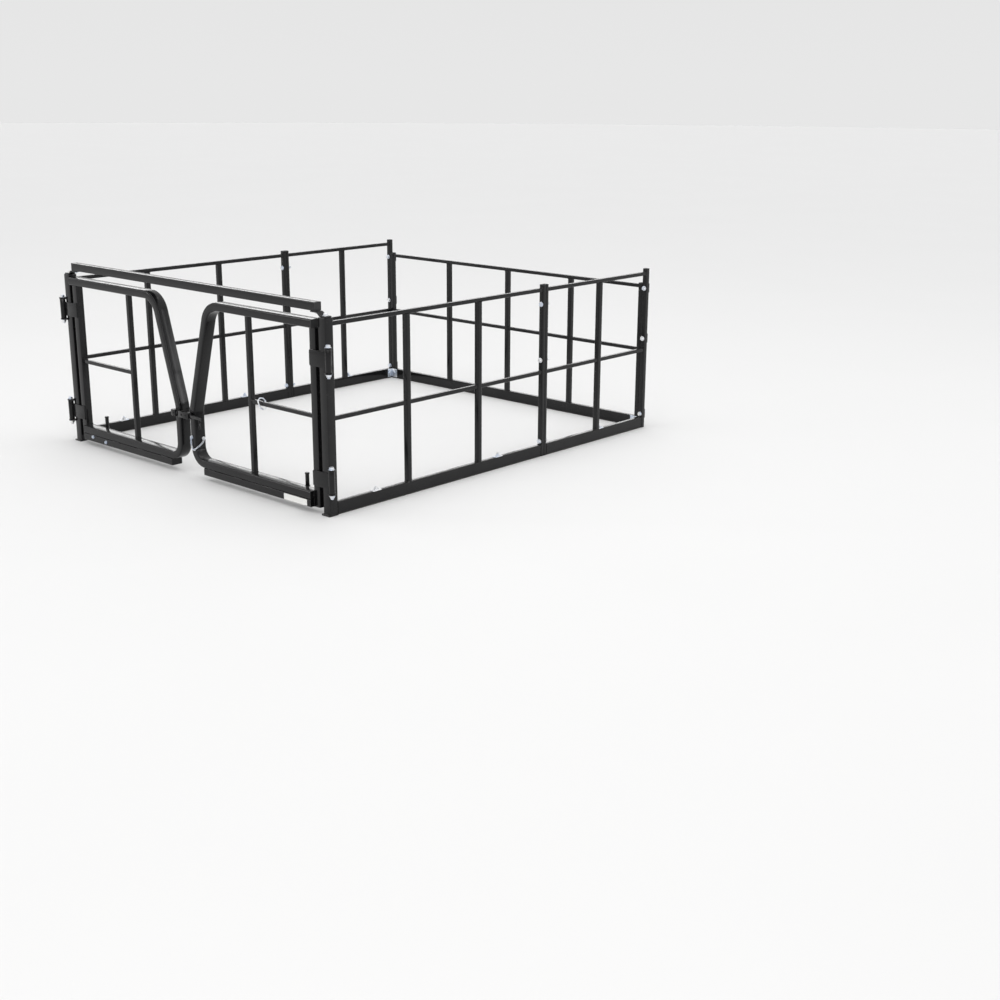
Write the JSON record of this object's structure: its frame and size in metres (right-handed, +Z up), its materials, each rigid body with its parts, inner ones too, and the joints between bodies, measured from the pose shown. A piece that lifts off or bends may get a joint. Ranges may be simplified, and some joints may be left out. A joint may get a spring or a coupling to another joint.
{
  "type": "pickup-bed stock rack",
  "caption": "Black square-tube stock rack for a pickup bed: open side and front panels, a raised rear header and two bent-tube rear gates that swing outwards.",
  "frame": {"origin": "middle of the rack's footprint, at the height of the bed rails it stands on", "axes": "+X towards the truck's right side, +Y forwards towards the cab, +Z up; the gates are at -Y"},
  "size_m": [1.758, 1.9824, 0.787],
  "materials": {
    "black_paint": "gloss black powder coat",
    "zinc": "bright zinc plate",
    "label": "blank white label plate"
  },
  "bodies": {
    "frame": {"front_bar_1": "black_paint", "front_bar_2": "black_paint", "front_bar_3": "black_paint", "front_bottom_rail": "black_paint", "front_left_upright": "black_paint", "front_middle_rail": "black_paint", "front_right_upright": "black_paint", "front_top_rail": "black_paint", "header": "black_paint", "left_corner_post": "black_paint", "left_front_bar_1": "black_paint", "left_front_bottom_rail": "black_paint", "left_front_end_upright": "black_paint", "left_front_middle_rail": "black_paint", "left_front_splice_upright": "black_paint", "left_front_top_rail": "black_paint", "left_header_strap": "black_paint", "left_lower_hinge_bolt": "zinc", "left_rear_bar_1": "black_paint", "left_rear_bar_2": "black_paint", "left_rear_bottom_rail": "black_paint", "left_rear_middle_rail": "black_paint", "left_rear_splice_upright": "black_paint", "left_rear_top_rail": "black_paint", "left_upper_hinge_bolt": "zinc", "right_corner_post": "black_paint", "right_front_bar_1": "black_paint", "right_front_bottom_rail": "black_paint", "right_front_end_upright": "black_paint", "right_front_middle_rail": "black_paint", "right_front_splice_upright": "black_paint", "right_front_top_rail": "black_paint", "right_header_strap": "black_paint", "right_lower_hinge_bolt": "zinc", "right_rear_bar_1": "black_paint", "right_rear_bar_2": "black_paint", "right_rear_bottom_rail": "black_paint", "right_rear_middle_rail": "black_paint", "right_rear_splice_upright": "black_paint", "right_rear_top_rail": "black_paint", "right_upper_hinge_bolt": "zinc"},
    "left_gate": {"latch_keeper": "black_paint", "left_gate_bar": "black_paint", "left_gate_bow": "black_paint", "left_gate_hinge_stile": "black_paint", "left_gate_middle_rail": "black_paint", "left_gate_sill_bar": "black_paint", "left_lower_hinge_strap": "black_paint", "left_upper_hinge_strap": "black_paint"},
    "right_gate": {"label_plate": "label", "latch_housing": "black_paint", "right_gate_bar": "black_paint", "right_gate_bow": "black_paint", "right_gate_hinge_stile": "black_paint", "right_gate_middle_rail": "black_paint", "right_gate_sill_bar": "black_paint", "right_lower_hinge_strap": "black_paint", "right_upper_hinge_strap": "black_paint", "safety_chain": "zinc"},
    "latch_bolt": {"latch_bolt": "black_paint"}
  },
  "joints": [
    {"name": "left_gate_swing", "type": "hinge", "parent": "frame", "child": "left_gate", "pos_m": [-0.865, -0.95385, 0.361], "axis": [0, 0, -1], "range_deg": [0, 255]},
    {"name": "right_gate_swing", "type": "hinge", "parent": "frame", "child": "right_gate", "pos_m": [0.865, -0.95385, 0.361], "axis": [0, 0, 1], "range_deg": [0, 255]},
    {"name": "latch_bolt_slide", "type": "slide", "parent": "right_gate", "child": "latch_bolt", "axis": [-1, 0, 0], "range_m": [0, 0.046]}
  ]
}
